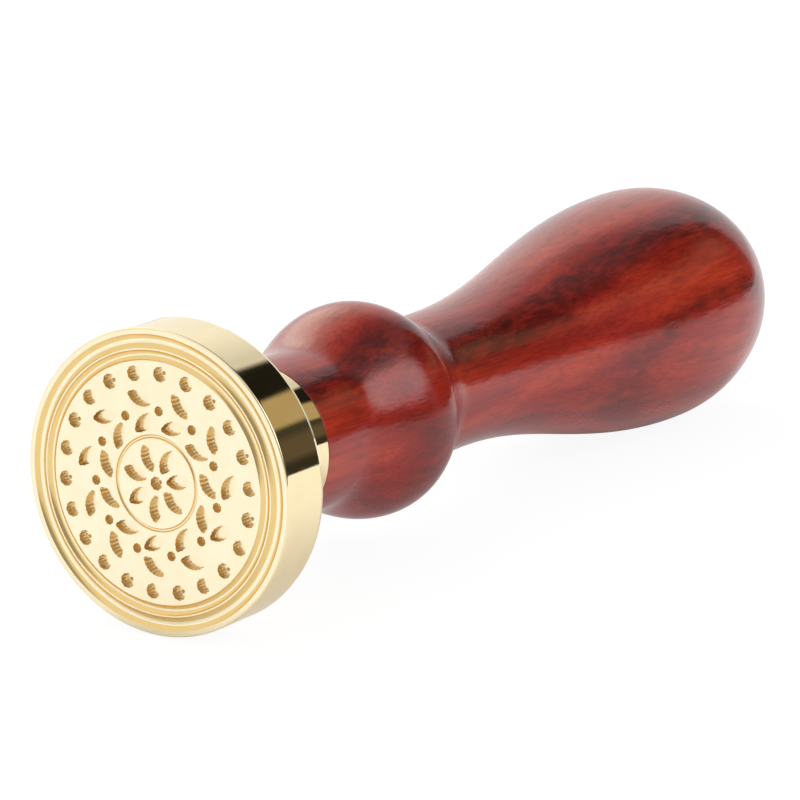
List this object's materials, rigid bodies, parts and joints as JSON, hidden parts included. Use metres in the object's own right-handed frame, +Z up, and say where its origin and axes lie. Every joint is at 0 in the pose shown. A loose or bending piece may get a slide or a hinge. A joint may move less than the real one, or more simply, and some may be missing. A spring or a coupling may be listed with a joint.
{
  "type": "wax seal stamp",
  "caption": "Wax seal stamp: round engraved brass head with a neck, screwed onto a stud in a turned, lacquered wooden handle with a knob and a pear-shaped grip.",
  "frame": {"origin": "middle of the stamp's footprint on the desk that it lies on", "axes": "+Z up from the desk, +Y along the stamp from the seal face to the handle's end, +X to the right of someone facing the seal face"},
  "size_m": [0.025, 0.0938, 0.0251],
  "materials": {
    "brass": "polished rim, fine-turned face, engraved design",
    "steel": "plain cut thread",
    "rosewood": "gloss lacquer over red wood with dark streaks"
  },
  "bodies": {
    "handle": {"wooden_handle": "rosewood"},
    "stud": {"threaded_stud": "steel"},
    "head": {"seal_head": "brass"}
  },
  "joints": [
    {"name": "head_turn", "type": "hinge", "parent": "handle", "child": "stud", "pos_m": [0, -0.03213, 0.01231], "axis": [0, -0.9998, 0.0191], "range_deg": [0, 3060]},
    {"name": "head_travel", "type": "slide", "parent": "stud", "child": "head", "axis": [0, -0.9998, 0.0191], "range_m": [0, 0.0085]}
  ],
  "couplings": [
    {"joint": "head_travel", "follows": "head_turn", "m_per_rad": 0.00015915}
  ]
}
